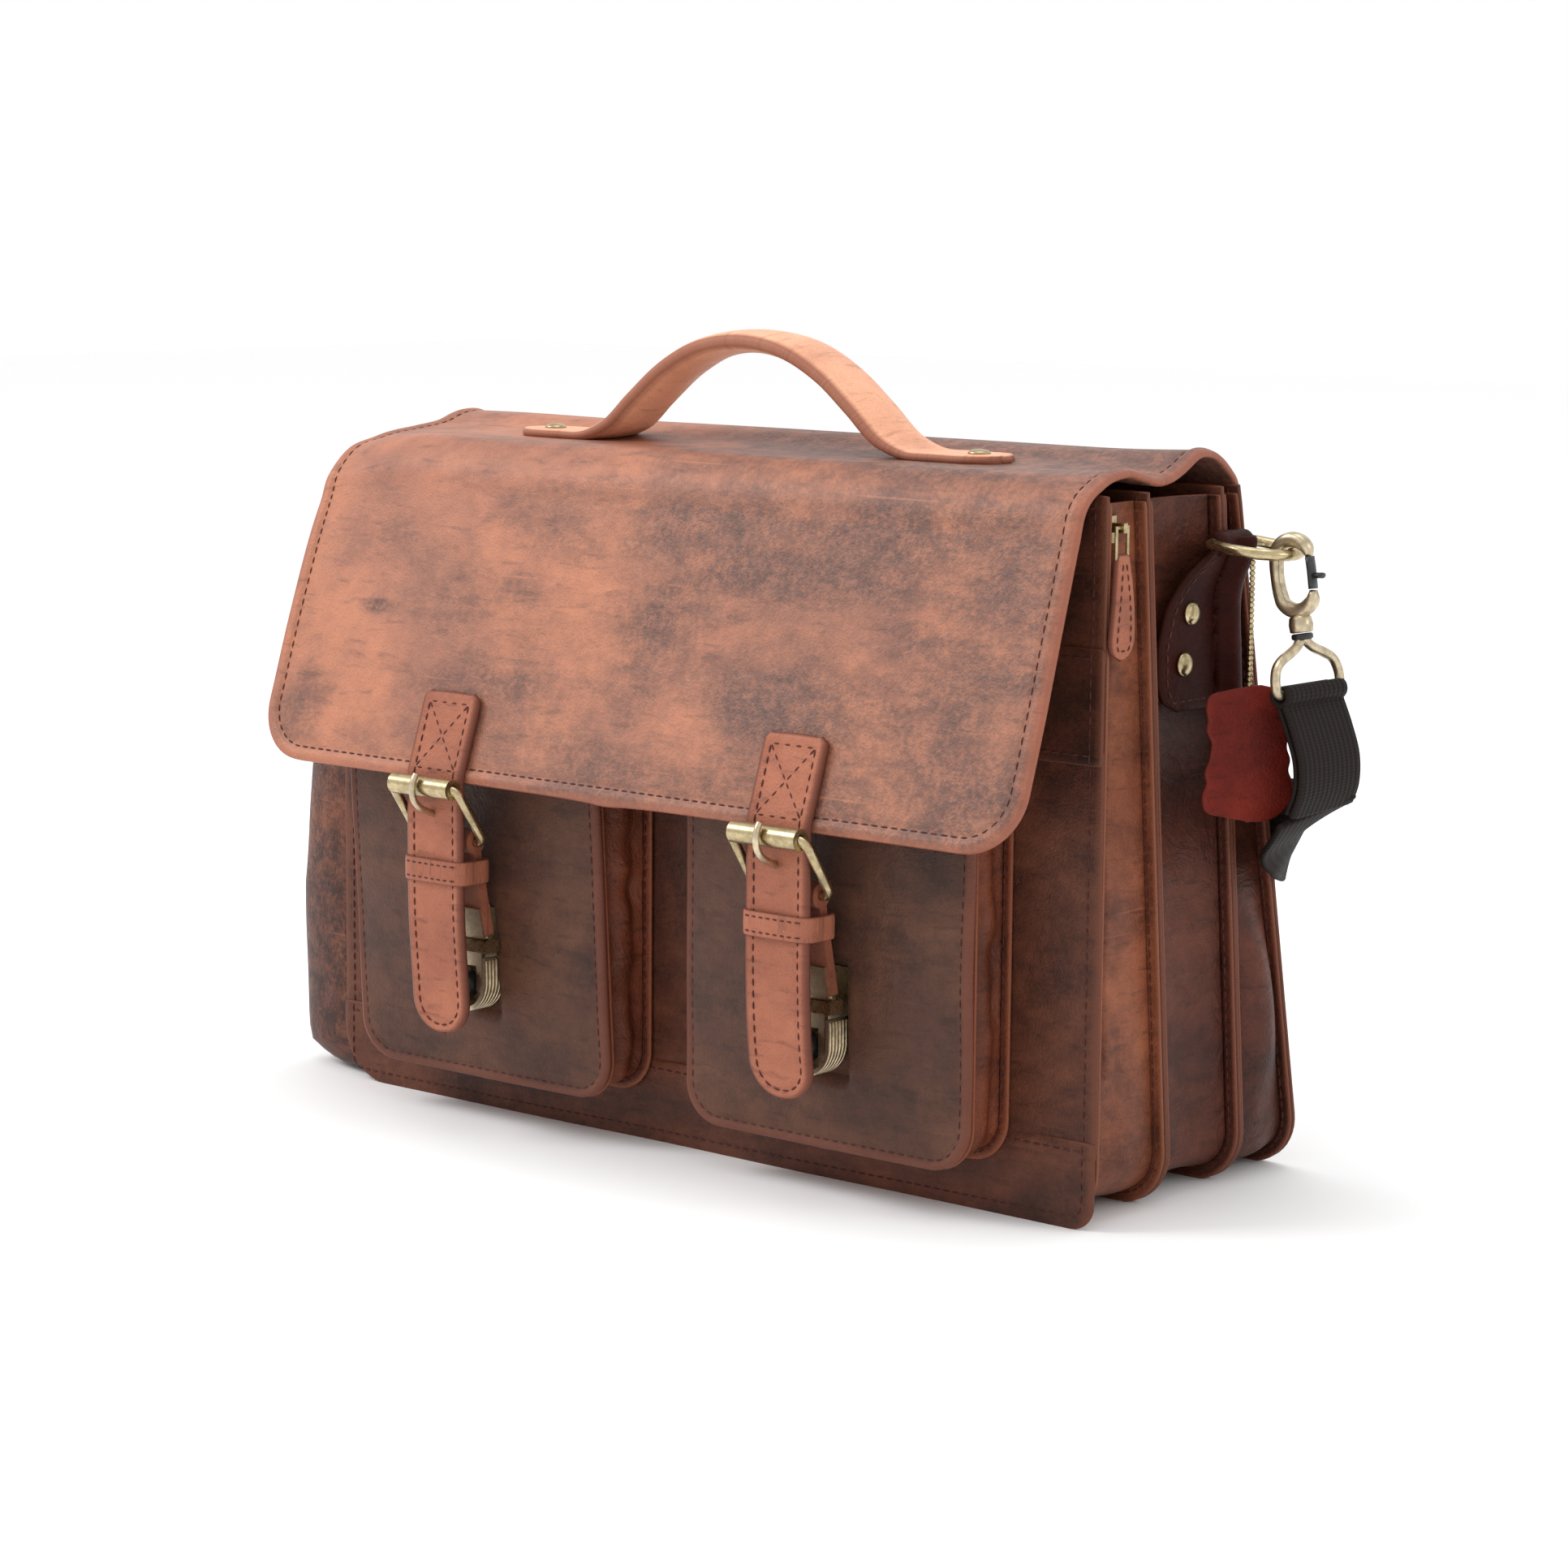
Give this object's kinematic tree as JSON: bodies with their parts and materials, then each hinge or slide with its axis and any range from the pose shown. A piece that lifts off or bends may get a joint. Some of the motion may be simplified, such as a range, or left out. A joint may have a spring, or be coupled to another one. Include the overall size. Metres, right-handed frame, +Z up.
{
  "type": "leather briefcase",
  "caption": "Satchel briefcase with three gusseted compartments, two box pockets, a folding flap with buckled straps, top handle, side zip and a shoulder strap.",
  "frame": {"origin": "on the floor, under the centre of the whole piece with its closures", "axes": "+X to the right seen from the front, +Y to the back, +Z up"},
  "size_m": [0.5082, 0.2083, 0.3285],
  "materials": {
    "flap_leather": "waxed pull-up leather, mottled tan",
    "panel_leather": "waxed leather, dark mottled brown",
    "gusset_leather": "waxed leather, mid brown",
    "strap_leather": "waxed leather, light tan",
    "tag_leather": "suede-faced hide, red brown",
    "brass": "antiqued brass, satin",
    "dark_metal": "black lacquer",
    "webbing": "ribbed woven webbing, near black",
    "zip_fabric": "woven tape, dark red",
    "zip_teeth": "nylon coil, dark red"
  },
  "bodies": {
    "case": {"back_panel": "panel_leather", "divider_front": "panel_leather", "divider_rear": "panel_leather", "front_base_band": "panel_leather", "front_middle_band": "panel_leather", "front_panel": "panel_leather", "front_top_band": "panel_leather", "gusset_front": "gusset_leather", "gusset_middle": "gusset_leather", "gusset_rear": "gusset_leather", "lock_tray_l": "brass", "lock_tray_r": "brass", "pocket_front_l": "panel_leather", "pocket_front_r": "panel_leather", "pocket_gusset_l": "gusset_leather", "pocket_gusset_r": "gusset_leather", "ring_tab_l": "strap_leather", "ring_tab_r": "strap_leather", "shoulder_strap": "webbing", "strap_slider": "brass", "tab_rivets": "brass", "zip_coil": "zip_teeth", "zip_tapes": "zip_fabric"},
    "flap_top": {"flap_top": "flap_leather", "handle": "strap_leather", "handle_rivets": "brass"},
    "flap_front": {"flap_front": "flap_leather", "flap_strap_l": "strap_leather", "flap_strap_r": "strap_leather", "chape_l": "strap_leather", "chape_r": "strap_leather", "keeper_l": "strap_leather", "keeper_r": "strap_leather", "buckle_frame_l": "brass", "buckle_frame_r": "brass", "lock_fork_l": "brass", "lock_fork_r": "brass", "lock_collar_l": "brass", "lock_collar_r": "brass"},
    "roller_l": {"buckle_roller_l": "brass"},
    "roller_r": {"buckle_roller_r": "brass"},
    "prong_l": {"buckle_prong_l": "brass"},
    "prong_r": {"buckle_prong_r": "brass"},
    "button_l": {"lock_button_l": "dark_metal"},
    "button_r": {"lock_button_r": "dark_metal"},
    "zip_slider": {"zip_slider": "brass"},
    "zip_pull": {"zip_link": "brass", "zip_pull": "strap_leather"},
    "ring_l": {"ring_l": "brass"},
    "ring_r": {"ring_r": "brass"},
    "eye_l": {"hook_eye_l": "brass", "webbing_end_l": "webbing"},
    "eye_r": {"hook_eye_r": "brass", "webbing_end_r": "webbing"},
    "hook_l": {"hook_l": "brass"},
    "hook_r": {"hook_r": "brass"},
    "gate_l": {"hook_gate_l": "dark_metal"},
    "gate_r": {"hook_gate_r": "dark_metal"},
    "tag": {"tag_chain": "brass", "tag": "tag_leather"}
  },
  "joints": [
    {"name": "flap_lift", "type": "hinge", "parent": "case", "child": "flap_top", "pos_m": [0, 0.0494, 0.279], "axis": [-1, 0, 0], "range_deg": [0, 110]},
    {"name": "flap_fold", "type": "hinge", "parent": "flap_top", "child": "flap_front", "pos_m": [0, -0.0416, 0.279], "axis": [-1, 0, 0], "range_deg": [0, 100]},
    {"name": "roller_spin_l", "type": "hinge", "parent": "flap_front", "child": "roller_l", "pos_m": [-0.091, -0.0952, 0.145], "axis": [1, 0, 0], "continuous": true},
    {"name": "prong_tilt_l", "type": "hinge", "parent": "flap_front", "child": "prong_l", "pos_m": [-0.091, -0.0796, 0.122], "axis": [1, 0, 0], "range_deg": [0, 10]},
    {"name": "button_press_l", "type": "slide", "parent": "case", "child": "button_l", "axis": [0, 1, 0], "range_m": [0, 0.0015], "stiffness_N_per_m": 300},
    {"name": "ring_swing_l", "type": "hinge", "parent": "case", "child": "ring_l", "pos_m": [-0.206, 0.0374, 0.254], "axis": [0, 1, 0], "range_deg": [0, 12]},
    {"name": "eye_swing_l", "type": "hinge", "parent": "case", "child": "eye_l", "pos_m": [-0.206, 0.0374, 0.254], "axis": [0, 1, 0], "range_deg": [0, 12]},
    {"name": "hook_turn_l", "type": "hinge", "parent": "eye_l", "child": "hook_l", "pos_m": [-0.23385, 0.0374, 0.25107], "axis": [0.1736, 0, 0.9848], "range_deg": [-15, 15]},
    {"name": "gate_open_l", "type": "hinge", "parent": "hook_l", "child": "gate_l", "pos_m": [-0.24354, 0.0374, 0.23872], "axis": [0, 1, 0], "range_deg": [0, 20], "stiffness_Nm_per_rad": 0.02},
    {"name": "roller_spin_r", "type": "hinge", "parent": "flap_front", "child": "roller_r", "pos_m": [0.091, -0.0952, 0.145], "axis": [1, 0, 0], "continuous": true},
    {"name": "prong_tilt_r", "type": "hinge", "parent": "flap_front", "child": "prong_r", "pos_m": [0.091, -0.0796, 0.122], "axis": [1, 0, 0], "range_deg": [0, 10]},
    {"name": "button_press_r", "type": "slide", "parent": "case", "child": "button_r", "axis": [0, 1, 0], "range_m": [0, 0.0015], "stiffness_N_per_m": 300},
    {"name": "ring_swing_r", "type": "hinge", "parent": "case", "child": "ring_r", "pos_m": [0.206, 0.0374, 0.254], "axis": [0, -1, 0], "range_deg": [0, 12]},
    {"name": "eye_swing_r", "type": "hinge", "parent": "case", "child": "eye_r", "pos_m": [0.206, 0.0374, 0.254], "axis": [0, -1, 0], "range_deg": [0, 12]},
    {"name": "hook_turn_r", "type": "hinge", "parent": "eye_r", "child": "hook_r", "pos_m": [0.23385, 0.0374, 0.25107], "axis": [-0.1736, 0, 0.9848], "range_deg": [-15, 15]},
    {"name": "gate_open_r", "type": "hinge", "parent": "hook_r", "child": "gate_r", "pos_m": [0.24354, 0.0374, 0.23872], "axis": [0, -1, 0], "range_deg": [0, 20], "stiffness_Nm_per_rad": 0.02},
    {"name": "zip_run", "type": "slide", "parent": "case", "child": "zip_slider", "axis": [0, 0, -1], "range_m": [0, 0.198]},
    {"name": "pull_swing", "type": "hinge", "parent": "zip_slider", "child": "zip_pull", "pos_m": [0.2019, -0.0268, 0.263], "axis": [0, -1, 0], "range_deg": [0, 150]},
    {"name": "tag_swing", "type": "hinge", "parent": "ring_r", "child": "tag", "pos_m": [0.2253, 0.0238, 0.252], "axis": [1, 0, 0], "range_deg": [-25, 5]}
  ],
  "couplings": [
    {"joint": "ring_swing_l", "follows": "eye_swing_l", "ratio": 1},
    {"joint": "ring_swing_r", "follows": "eye_swing_r", "ratio": 1}
  ]
}
